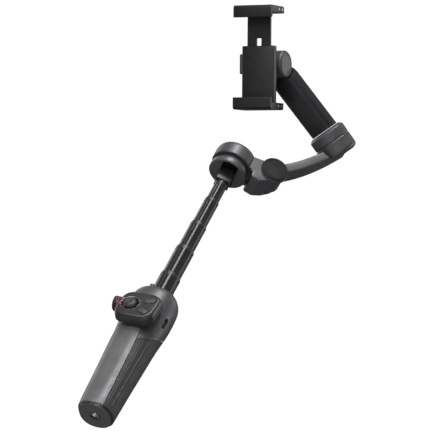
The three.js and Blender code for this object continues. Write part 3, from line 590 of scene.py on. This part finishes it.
def build_trigger():
    outline = [(-3.2, 6.6), (1.2, 6.6)]
    outline += curve_points((1.2, 6.6), (3.4, 0), (4.4, -7.4), 14)[1:]
    outline += [(1.4, -7.4)] + curve_points((1.4, -7.4), (-0.4, -1), (-3.2, 2.2), 8)[1:]
    lever = slab("rear_trigger", outline, -5, 5, turned(TRIGGER, turn=SIDE_VIEW))
    cut(lever, rod("cutter", 1.3, -10, 10, TRIGGER_PIN))
    piece(bevelled(lever, 0.6, 3, 40), "trigger", BUTTON_GRAY, ["rear_trigger"])


def remote_block(name):
    """Rounded block whose face rolls over softly, most of all at its lower and upper ends."""
    rings = [[(x, y, 0) for x, y in rounded_rectangle(16, 15, 9)]]
    for k in range(9):
        angle = math.radians(90 * k / 8)
        roll = 1 - math.cos(angle)
        z = 3.0 + 4.8 * math.sin(angle)
        rings.append([(x, y, z) for x, y in
                      rounded_rectangle(16 - 2.2 * roll, 15 - 3.2 * roll, 9 - 2.4 * roll)])
    for s in (0.8, 0.5, 0.2, 0.05):
        z = 7.8 + 0.2 * (1 - s * s)
        rings.append([(x * s, y * s, z) for x, y in rounded_rectangle(13.8, 11.8, 6.6)])
    return loft(name, rings, REMOTE)


def build_remote():
    shell = remote_block("remote_shell")
    inside = plate("cutter", 14.4, 13.4, 7.8, -5, 6.2, REMOTE)
    stick = turned(REMOTE, (-5.8, -0.6, 0))
    cut(shell, inside)
    join(shell, rod("cutter", 7.3, 4.3, 7.0, stick))
    well = revolve("cutter", [(0, 4.8, 0), (5.6, 4.8, 0.3), (6.2, 5.6, 0.3), (6.4, 6.8, 0.2), (7.7, 8.2, 0),
                              (7.7, 12, 0), (0, 12, 0)], stick)
    cut(shell, well, rod("cutter", 2.4, 0, 20, stick))
    upper = turned(REMOTE, (8, 5, 0), (0, 0, 20))
    lower = turned(REMOTE, (7.4, -7.4, 0), (0, 0, -20))
    for spot in (upper, lower):
        cut(shell, plate("cutter", 4.3, 2.9, 2.7, 2, 20, spot),
            plate("cutter", 4.5, 3.1, 2.9, 7.55, 20, turned(spot, (0, -0.35, 0))))
    piece(shell, "remote", REMOTE_GRAY, ["remote_shell"], 28)
    bezel = ring("joystick_bezel", [(6.2, 5.4, 0), (7.9, 7.3, 0), (7.9, 8.12, 0.1), (7.5, 8.12, 0.1),
                                    (6.45, 7.0, 0.2), (6.15, 6.0, 0)], stick)
    piece(bezel, "remote", STICK_METAL)
    cap = revolve("joystick_cap", [(0, -0.6, 0), (1.3, -0.6, 0), (1.3, 2.6, 0), (4.85, 3.2, 0.3),
                                   (5.1, 4, 0.4), (4.75, 5.1, 0.3), (4.0, 5.8, 0.4), (2.8, 6.4, 0.5),
                                   (1.2, 6.3, 0.5), (0.3, 6.2, 0)], STICK)
    piece(cap, "joystick", STICK_BLACK, ["joystick_cap"])
    for spot, name, body in ((upper, "upper_button", "upper_key"), (lower, "lower_button", "lower_key")):
        groove = plate(name + "_groove", 4.42, 3.02, 2.82, 7.57, 7.9, turned(spot, (0, -0.35, 0)))
        cut(groove, plate("cutter", 4.15, 2.65, 2.45, 7, 9, spot))
        piece(groove, "remote", BLACK_PLASTIC)
        key = soft_slab(name, 4, 2.5, 2.3, 3.4, 8.6, 0.7, spot, steps=5, dome=0.2)
        piece(key, body, BUTTON_GRAY, [name])


# ---- telescopic rod and neck --------------------------------------------------------------

ROD_TUBES = [(8.2, 115, 146), (7.45, 140, 175.5), (6.6, 169.5, 203.4), (5.85, 197.4, 231), (5.1, 225, 251)]


FLUTE_DEPTH = 0.42


def fluted(radius, z, depth, flutes=8, sides=160):
    """Circle with shallow grooves of this depth."""
    points = []
    for k in range(sides):
        angle = 2 * math.pi * k / sides
        wave = 0.5 + 0.5 * math.cos(angle * flutes)
        r = radius - depth * wave ** 2
        points.append((r * math.cos(angle), r * math.sin(angle), z))
    return points


def build_rods():
    for k, (radius, low, top) in enumerate(ROD_TUBES):
        bore = ROD_TUBES[k + 1][0] + 0.2 if k + 1 < len(ROD_TUBES) else 3.4
        end = top - 3.6
        levels = [(radius - 0.25, low, 0), (radius, low + 0.4, 0), (radius, low + 1.2, FLUTE_DEPTH),
                  (radius, top - 4.2, FLUTE_DEPTH), (radius, top - 3.8, 0), (radius, end, 0),
                  (radius - 0.55, end, 0), (bore, end, 0), (bore, low, 0)]
        tube = loft(f"rod_tube_{k + 1}", [fluted(*level) for level in levels], HANDLE, closed=True)
        piece(tube, f"rod_{k + 1}", ROD_DARK, [f"rod_tube_{k + 1}"])
        rim = ring(f"rod_rim_{k + 1}",
                   [(bore, top - 3.5, 0), (radius - 0.1, top - 3.5, 0), (radius, top - 3.3, 0.1),
                    (radius, top - 0.5, 0.2), (radius - 0.35, top, 0.15), (bore + 0.25, top, 0.1),
                    (bore, top - 0.3, 0)], HANDLE)
        piece(rim, f"rod_{k + 1}", BLACK_PLASTIC)


NECK = turned(HANDLE, (0, 0, 264.5), (0, 0, 25))      # x runs along the neck's hinge
NECK_DROP = 13.2            # from the hinge down to the foot of the neck block
NECK_ROUND = 3.4


def build_neck():
    outline = [(-5.4, 0), (5.4, 0), (5.2, 4.4), (NECK_ROUND, 6), (NECK_ROUND, NECK_DROP)]
    outline += [(NECK_ROUND * math.cos(a), NECK_DROP + NECK_ROUND * math.sin(a))
                for a in (math.pi * k / 16 for k in range(1, 16))]
    outline += [(-NECK_ROUND, NECK_DROP), (-NECK_ROUND, 6), (-5.2, 4.4)]
    neck = slab("neck_block", outline, -6, 6, turned(NECK, (0, 0, -NECK_DROP), SIDE_VIEW))
    cut(neck, rod("cutter", 1.8, -10, 10, turned(NECK, turn=ALONG_X)))
    piece(bevelled(neck, 0.5, 3, 40), "rod_5", BLACK_PLASTIC, ["neck_block"])


def pocket(half_x, radius, low, high):
    """The room the neck block swings in, as a solid."""
    return keep(block("cutter", (-half_x, -30, low), (half_x, 30, high), NECK),
                rod("cutter", radius, low - 1, high + 1, NECK, 96))


def build_pan_base():
    low = -2.3
    rim = low + 5.3
    top = rim + 3.7
    base = revolve("pan_base_housing",
                   [(0, low, 0), (14.6, low, 0.2), (15.5, low + 0.9, 0.3), (15.5, rim - 0.5, 0.3),
                    (15.1, rim, 0.2), (13.4, rim, 0), (13.4, top, 0), (0.3, top, 0)], NECK, 128)
    cut(base, pocket(6.4, 13.9, low - 1, rim - 0.4), pocket(6.4, 12.1, low - 1, 4.5),
        rod("cutter", 1.95, -11.3, 11.3, turned(NECK, turn=ALONG_X)),
        rod("cutter", 6.3, 4.9, 20, NECK))
    piece(bevelled(base, 0.3, 2, 50), "pan_base", GRAY_SHELL, ["pan_base_housing"])
    # Thin black sheets over the walls and roof of the neck's pocket: painted shade for the shadow inside the
    # pocket.
    painted_shade_sheet = cut(pocket(6.39, 13.88, low + 0.5, rim - 0.42), pocket(6.15, 13.6, low - 1, rim))
    painted_shade_sheet.name = "pocket_painted_shade_sheet"
    piece(painted_shade_sheet, "pan_base", BLACK_PLASTIC)
    roof_painted_shade_sheet = cut(pocket(6.39, 12.05, rim, 4.48), pocket(6.15, 11.8, low, 4.3))
    roof_painted_shade_sheet.name = "pocket_roof_painted_shade_sheet"
    piece(roof_painted_shade_sheet, "pan_base", BLACK_PLASTIC)


def screw(matrix, radius, body, name):
    """Countersunk head with a cross recess, standing a little proud of the face under it."""
    head = revolve(name, [(0, -0.3, 0), (radius, -0.3, 0), (radius, 0.05, 0), (radius * 0.8, 0.18, 0.05),
                          (0.3, 0.2, 0)], matrix, 40)
    for turn in (0, 90):
        cut(head, block("cutter", (-radius * 0.6, -0.14, 0.02), (radius * 0.6, 0.14, 1),
                        turned(matrix, turn=(0, 0, turn))))
    return piece(head, body, BARE_STEEL)


# ---- pan housing and hinge fork -----------------------------------------------------------

HINGE_OUT = 31.3
HINGE_UP = 9.2
WEB_OUTLINE = [
    (-29, -10.8), (-14.4, -10.8), (-14.4, -14.4), (-13, -15.9), (-6.5, -16), (-0.2, -12), (5, -6.4),
    (7.6, -2), (8.2, 2), (6, 6.4), (1, 8.6), (-5, 8), (-11, 4.4), (-18, 3), (-29, 3),
]
ARM_SWEEP = ((0, 0), (17, -46), (60, -46), (60, 60), (-24, 60))     # room for the arm, from the hinge
FORK_HALF = 7.9
CHEEK_FRONT = 10.2
CHEEK_REAR = 11.6
KNUCKLE_ROOM = 10.1


def build_pan_head():
    housing = revolve("pan_housing", [(0, 0, 0), (15.9, 0, 0.2), (16.4, 0.5, 0.2), (16.4, 9.8, 1.2),
                                      (15.4, 12.4, 1.2), (12.8, 14, 0.8)], PAN, 128)
    sideways = turned(PAN, turn=ALONG_MINUS_Y)
    outline = [(HINGE_OUT + out, HINGE_UP + up) for out, up in WEB_OUTLINE]
    web = slab("cutter", outline, -CHEEK_REAR, CHEEK_FRONT, sideways)
    hinge = turned(PAN, (HINGE_OUT, 0, HINGE_UP), ALONG_MINUS_Y)
    boss = revolve("cutter", [(0, FORK_HALF, 0), (11, FORK_HALF, 0), (11, 11.1, 0.3), (10.6, 11.6, 0)],
                   hinge, 96)
    join(housing, bevelled_now(web, 0.9, 4), boss)
    sweep = [(HINGE_OUT + out, HINGE_UP + up) for out, up in ARM_SWEEP]
    cut(housing, slab("cutter", sweep, -FORK_HALF, FORK_HALF, sideways),
        rod("cutter", KNUCKLE_ROOM, -FORK_HALF, FORK_HALF, hinge, 96),
        rod("cutter", 12.4, -1, 9.2, PAN),          # the stator's room
        rod("cutter", 18.1, -30, 0, PAN, 96),       # clear of the pan base
        rod("cutter", 2.8, -20, 20, hinge))         # the hinge pin's bore
    piece(housing, "pan_head", GRAY_SHELL, ["pan_housing"])
    cap = revolve("hinge_cap", [(0, 11.9, 0), (10.6, 11.9, 0), (10.6, 12.5, 0.2), (9.9, 13.0, 0.3),
                                (8.6, 13.0, 0), (8.5, 12.85, 0), (8.3, 12.85, 0), (8.2, 13.0, 0),
                                (0.5, 13.0, 0)], hinge)
    piece(cap, "pan_head", CAP_RUBBER, ["hinge_cap"])


def bevelled_now(obj, width, segments):
    """Bevels and bakes, so that a boolean can follow."""
    bevelled(obj, width, segments, 25)
    baked = bpy.data.meshes.new_from_object(obj.evaluated_get(bpy.context.evaluated_depsgraph_get()))
    obj.modifiers.clear()
    obj.data = baked
    return obj


# ---- swing arm ----------------------------------------------------------------------------

def arm_section(centre, across, half_thick, half_width, corner):
    """Rounded section of the arm: across points to its outer side, the other way is the hinge axis."""
    return [(centre[0] + across[0] * x, y, centre[1] + across[1] * x)
            for x, y in rounded_rectangle(half_thick, half_width, corner, 6)]


def build_swing_arm():
    root, bend, tip = Vector((0, 4)), Vector((22, 22)), Vector((40.5, 63))
    rings = []
    for k in range(33):
        t = k / 32
        centre = root * (1 - t) ** 2 + bend * 2 * t * (1 - t) + tip * t * t
        heading = ((bend - root) * (1 - t) + (tip - bend) * t).normalized()
        across = (heading.y, -heading.x)
        rings.append(arm_section(centre, across, 4.3 - 0.5 * t, 7.5, 1.5))
    arm = loft("swing_arm", rings, FOLD)
    hinge = turned(FOLD, turn=ALONG_MINUS_Y)
    knuckle = revolve("cutter", [(0, -7.5, 0), (8.8, -7.5, 0), (9.4, -6.9, 0.3), (9.4, 6.9, 0.3),
                                 (8.8, 7.5, 0), (0.3, 7.5, 0)], hinge)
    end_cap = revolve("cutter", [(0, -13.5, 0), (11.5, -13.5, 1.2), (14.4, -12.3, 1.2), (15.5, -10.5, 0.6),
                                 (15.5, -9.8, 0), (0.3, -9.8, 0)], ROLL, 128)
    cut(arm, rod("cutter", 20, -9.8, 40, ROLL))
    join(arm, knuckle, end_cap)
    cut(arm, rod("cutter", 2.8, -20, 20, hinge))
    piece(arm, "swing", GRAY_SHELL, ["swing_arm"], 30)
    stator = revolve("roll_stator_housing",
                     [(0, -9.5, 0), (15.5, -9.5, 0), (15.5, -0.9, 0.3), (15.1, -0.3, 0.2), (12.6, -0.3, 0),
                      (12.6, -7.3, 0), (6.4, -7.3, 0), (6.4, -8.6, 0), (0.3, -8.6, 0)], ROLL, 128)
    piece(stator, "swing", GRAY_SHELL, ["roll_stator_housing"])
    piece(rod("stator_gasket", 15.0, -9.79, -9.51, ROLL, 96), "swing", BLACK_PLASTIC)


# ---- roll rotor, roll arm and tilt motor --------------------------------------------------

TILT = turned(CLAMP, turn=ALONG_X)      # z runs along the tilt axis
TILT_RADIUS = 11.5
ROTOR_TOP = 10.5            # where the roll arm starts on the roll axis


def build_roll():
    rotor = revolve("roll_rotor_housing",
                    [(0, 0, 0), (15, 0, 0), (15.5, 0.5, 0.2), (15.5, 7.9, 0.5), (13.1, 10.1, 0.8),
                     (12.2, 10.2, 0.2), (0.3, 10.2, 0)], ROLL, 128)
    cut(rotor, rod("cutter", 3.3, -1, 4, ROLL))
    piece(rotor, "roll", GRAY_SHELL, ["roll_rotor_housing"])
    seal = ring("rotor_seal", [(12.8, -0.27, 0), (14.9, -0.27, 0), (14.9, -0.01, 0), (12.8, -0.01, 0)],
                ROLL)
    piece(seal, "roll", BLACK_PLASTIC)

    to_clamp = CLAMP.inverted()
    start = to_clamp @ (ROLL @ Vector((0, 0, ROTOR_TOP)))
    finish = Vector((4.5, 2.5, -3))
    heading = (finish - start).normalized()
    turn = Vector((0, 0, 1)).rotation_difference(heading).to_matrix().to_4x4()
    lay = CLAMP @ Matrix.Translation(start) @ turn
    span = (finish - start).length
    rings = []
    for z in [-14, 0, span * 0.3, span * 0.6, span * 0.9, span]:
        rings.append([(x, y, z) for x, y in rounded_rectangle(10.3, 9.2, 5.0, 8)])
    beam = loft("roll_arm", rings, lay)
    cut(beam, rod("cutter", TILT_RADIUS + 0.3, -40, 40, TILT, 128),
        rod("cutter", 40, -30, ROTOR_TOP, ROLL))
    beam = largest_part(beam)
    piece(bevelled(beam, 0.8, 4, 45), "roll", ARM_DARK, ["roll_arm"])

    housing = revolve("tilt_motor_housing",
                      [(0, -3.5, 0), (10.7, -3.5, 0), (TILT_RADIUS, -2.7, 0.3), (TILT_RADIUS, 12.4, 0.6),
                       (9.9, 14, 0.6), (8.6, 14, 0.1), (8.4, 13.7, 0), (0.3, 13.7, 0)], TILT, 112)
    cut(housing, rod("cutter", 9.4, -10, 8, TILT),
        ring("cutter", [(11.3, 10.2, 0), (12.5, 10.2, 0), (12.5, 10.5, 0), (11.3, 10.5, 0)], TILT))
    piece(housing, "roll", GRAY_SHELL, ["tilt_motor_housing"])
    shield = ring("tilt_shield", [(3.7, -3.4, 0), (9.3, -3.4, 0), (9.3, -3.0, 0), (3.7, -3.0, 0)], TILT)
    piece(shield, "roll", BLACK_PLASTIC)


def largest_part(obj):
    """Keeps the biggest connected part of a mesh."""
    work = bmesh.new()
    work.from_mesh(obj.data)
    seen = set()
    parts = []
    for vertex in work.verts:
        if vertex in seen:
            continue
        part = {vertex}
        reach = [vertex]
        while reach:
            for edge in reach.pop().link_edges:
                for other in edge.verts:
                    if other not in part:
                        part.add(other)
                        reach.append(other)
        seen |= part
        parts.append(part)
    parts.sort(key=lambda part: -max((a.co - b.co).length
                                     for a in list(part)[:60] for b in list(part)[:60]))
    for part in parts[1:]:
        bmesh.ops.delete(work, geom=list(part), context="VERTS")
    work.to_mesh(obj.data)
    work.free()
    return obj


# ---- clamp --------------------------------------------------------------------------------

PHONE_BACK = -26.05
LOWER = -31.45               # the jaws' gripping faces
UPPER = 40.05
JAW_HALF = 16.5
SPRING_TURNS = 14
WIRE_RADIUS = 0.32
COIL_RADIUS = 1.35


def jaw_solid(name, height, up):
    """Jaw seen from the side: a plate with a front lip. up is 1 for the upper jaw, -1 for the lower."""
    outline = [(-37.4, -4), (-34.1, -4), (-34.1, -0.6), (-33.5, 0), (-11.6, 0), (-11.6, 4.1),
               (-13.1, 5.6), (-35.9, 5.6), (-37.4, 4.1)]
    points = [(y, height + up * z) for y, z in outline]
    body = slab(name, points, -JAW_HALF, JAW_HALF, turned(CLAMP, turn=SIDE_VIEW))
    return bevelled_now(body, 1.5, 5)


def build_clamp():
    rotor = revolve("tilt_rotor_bracket",
                    [(0, 3.8, 0), (3.4, 3.8, 0), (3.4, 10, 0), (10.9, 10, 0), (TILT_RADIUS, 10.6, 0.3),
                     (TILT_RADIUS, 19.0, 0.5), (10.5, 20, 0.5), (0.3, 20, 0)],
                    turned(CLAMP, turn=(0, -90, 0)), 112)
    link = block("cutter", (-19, PHONE_BACK + 6.4, -8), (-10.5, -4, 8), CLAMP)
    join(rotor, bevelled_now(link, 1.0, 3))
    cut(rotor, rod("cutter", 2, -30, 0, TILT))
    piece(rotor, "clamp", GRAY_SHELL, ["tilt_rotor_bracket"])

    body = block("clamp_body", (-14, PHONE_BACK + 0.5, LOWER - 5.6), (14, PHONE_BACK + 6.1, 14), CLAMP)
    join(bevelled_now(body, 0.8, 3), jaw_solid("cutter", LOWER, -1))
    cut(body, block("cutter", (-10.4, PHONE_BACK + 1.7, LOWER + 3), (10.4, PHONE_BACK + 4.5, 30), CLAMP),
        keep(rod("cutter", 2.2, -36, 30, turned(CLAMP, (0, PHONE_BACK + 3.1, 0))),
             block("cutter", (-3, -40, LOWER + 2), (3, 0, 20), CLAMP)))
    piece(body, "clamp", CLAMP_BLACK, ["clamp_body"], 28)

    slider = block("upper_jaw", (-10, PHONE_BACK + 2, -15), (10, PHONE_BACK + 4.2, UPPER + 1), CLAMP)
    cut(slider, block("cutter", (-2.2, PHONE_BACK, -16), (2.2, PHONE_BACK + 6, 20), CLAMP))
    join(slider, jaw_solid("cutter", UPPER, 1))
    piece(slider, "jaw", CLAMP_BLACK, ["upper_jaw"], 28)

    for name, z, body_name in (("lower_jaw_pad", LOWER + 0.3, "clamp"),
                               ("upper_jaw_pad", UPPER - 1.2, "jaw")):
        pad = block(name, (-13, -33.4, z), (13, PHONE_BACK - 0.6, z + 0.9), CLAMP)
        for k in range(9):     # shallow ribs across the pad
            y = -32.9 + k * 0.72
            height = z + 0.9 if body_name == "clamp" else z
            cut(pad, block("cutter", (-14, y, height - 0.18), (14, y + 0.3, height + 0.18), CLAMP))
        piece(pad, body_name, PAD_RUBBER, [name])
    for side in (-1, 1):
        for y in (-15.5, -21.5):
            turn = (0, 90 * side, 0)
            screw(turned(CLAMP, (side * JAW_HALF, y, LOWER - 2.8), turn), 1.1, "clamp", "jaw_screw")
            screw(turned(CLAMP, (side * JAW_HALF, y, UPPER + 2.8), turn), 1.1, "jaw", "jaw_screw")
    spring_coil()


def spring_coil():
    """Helical wire spring between the clamp body and the carriage."""
    low = LOWER + 4
    high = 2.5
    steps = SPRING_TURNS * 20
    rings = []
    for k in range(steps + 1):
        angle = 2 * math.pi * SPRING_TURNS * k / steps
        z = low + 0.2 + (high - low - 0.4) * k / steps
        out = Vector((math.cos(angle), math.sin(angle), 0))
        centre = Vector((0, PHONE_BACK + 3.1, z)) + out * COIL_RADIUS
        rings.append([tuple(centre + out * WIRE_RADIUS * math.cos(a)
                            + Vector((0, 0, WIRE_RADIUS * math.sin(a))))
                      for a in (2 * math.pi * s / 8 for s in range(8))])
    piece(loft("clamp_spring", rings, CLAMP), "clamp", BARE_STEEL, ["clamp_spring"])


# ---- build ----------------------------------------------------------------------------------

build_head(build_grip())
build_base()
build_head_fittings()
build_dial()
build_trigger()
build_remote()
build_rods()
build_neck()
build_pan_base()
build_pan_head()
build_swing_arm()
build_roll()
build_clamp()

INNER = {
    "battery_cell": CELL_WRAP, "main_board": BOARD, "remote_board": BOARD,
    "rod_guide_sleeve": BLACK_PLASTIC, "remote_back_cover": BLACK_PLASTIC,
    "pan_motor_stator": COPPER, "roll_motor_coil": COPPER, "tilt_motor_coil": COPPER,
    "trigger_pin": BARE_STEEL, "dial_shaft": BARE_STEEL, "joystick_gimbal_ring": BARE_STEEL,
    "neck_pin": BARE_STEEL, "pan_motor_bearing": BARE_STEEL, "pan_motor_shaft": BARE_STEEL,
    "fold_hinge_pin": BARE_STEEL, "roll_motor_bearing": BARE_STEEL, "roll_motor_shaft": BARE_STEEL,
    "tilt_motor_shaft": BARE_STEEL,
}
for name, material in INNER.items():
    node = frame["nodes"][name]
    node.data.materials.clear()
    node.data.materials.append(material)

# ---- camera, light and floor ----------------------------------------------------------------

CAMERA_AT = Vector((0.8843, -1.5953, -1.2611))
CAMERA_RIGHT = Vector((0.91533, 0.15880, 0.37006))
CAMERA_UP = Vector((-0.15191, -0.71492, 0.68251))
CAMERA_BACK = Vector((0.37295, -0.68094, -0.63027))

camera = bpy.data.objects.new("camera", bpy.data.cameras.new("camera"))
camera.data.sensor_width = 36
camera.data.lens = 250.83
camera.data.clip_end = 50
camera.matrix_world = Matrix.Translation(CAMERA_AT) @ Matrix(
    (CAMERA_RIGHT, CAMERA_UP, CAMERA_BACK)).transposed().to_4x4()
bpy.context.scene.collection.objects.link(camera)
bpy.context.scene.camera = camera

MIDDLE = Vector((0, 0, 0.19))


def area_light(name, place, width, height, power, target=MIDDLE):
    """Softbox placed by how far it stands to the right of, above and in front of the object."""
    light = bpy.data.lights.new(name, "AREA")
    light.shape = "RECTANGLE"
    light.size = width
    light.size_y = height
    light.energy = power
    obj = bpy.data.objects.new(name, light)
    right, up, front = place
    obj.location = target + CAMERA_RIGHT * right + CAMERA_UP * up + CAMERA_BACK * front
    obj.rotation_euler = (obj.location - target).to_track_quat("Z", "Y").to_euler()
    bpy.context.scene.collection.objects.link(obj)
    return obj


area_light("top_strip", (0.25, 1.25, 0.25), 0.34, 1.2, 21)
area_light("key", (-0.5, 0.9, 1.0), 0.7, 0.7, 9)
area_light("rim_left", (-1.0, 0.5, -1.2), 1.1, 1.6, 8)
area_light("rim_right", (1.3, 0.1, -0.6), 0.6, 1.2, 5)
area_light("fill", (0.4, -0.3, 1.4), 0.9, 0.9, 3)

world = bpy.data.worlds.new("studio")
bpy.context.scene.world = world
world.use_nodes = True
tree = world.node_tree
ambient = tree.nodes["Background"]
ambient.inputs["Color"].default_value = (0.80, 0.80, 0.82, 1)
ambient.inputs["Strength"].default_value = 0.20
paper = tree.nodes.new("ShaderNodeBackground")
paper.inputs["Color"].default_value = (1, 1, 1, 1)
paper.inputs["Strength"].default_value = 1.05
path = tree.nodes.new("ShaderNodeLightPath")
choose = tree.nodes.new("ShaderNodeMixShader")
tree.links.new(path.outputs["Is Camera Ray"], choose.inputs["Fac"])
tree.links.new(ambient.outputs["Background"], choose.inputs[1])
tree.links.new(paper.outputs["Background"], choose.inputs[2])
tree.links.new(choose.outputs["Shader"], tree.nodes["World Output"].inputs["Surface"])

FLOOR_HALF = 6000
FLOOR_Z = -1400             # below the camera, which looks up at the base
FLOOR_LIFT = 0.55
corners = ((-1, -1), (1, -1), (1, 1), (-1, 1))
floor = mesh_object("floor", [(x * FLOOR_HALF, y * FLOOR_HALF, FLOOR_Z) for x, y in corners],
                    [(0, 1, 2, 3)], HANDLE)
pale = bpy.data.materials.new("pale_floor")
pale.use_nodes = True
tree = pale.node_tree
matte = tree.nodes["Principled BSDF"]
matte.inputs["Base Color"].default_value = (0.82, 0.82, 0.82, 1)
matte.inputs["Roughness"].default_value = 0.9
matte.inputs["Emission Color"].default_value = (1, 1, 1, 1)
path = tree.nodes.new("ShaderNodeLightPath")
lift = tree.nodes.new("ShaderNodeMath")     # the floor looks pale without lighting the gimbal from below
lift.operation = "MULTIPLY"
lift.inputs[1].default_value = FLOOR_LIFT
tree.links.new(path.outputs["Is Camera Ray"], lift.inputs[0])
tree.links.new(lift.outputs[0], matte.inputs["Emission Strength"])
floor.data.materials.append(pale)

bpy.context.scene.view_settings.view_transform = "Standard"
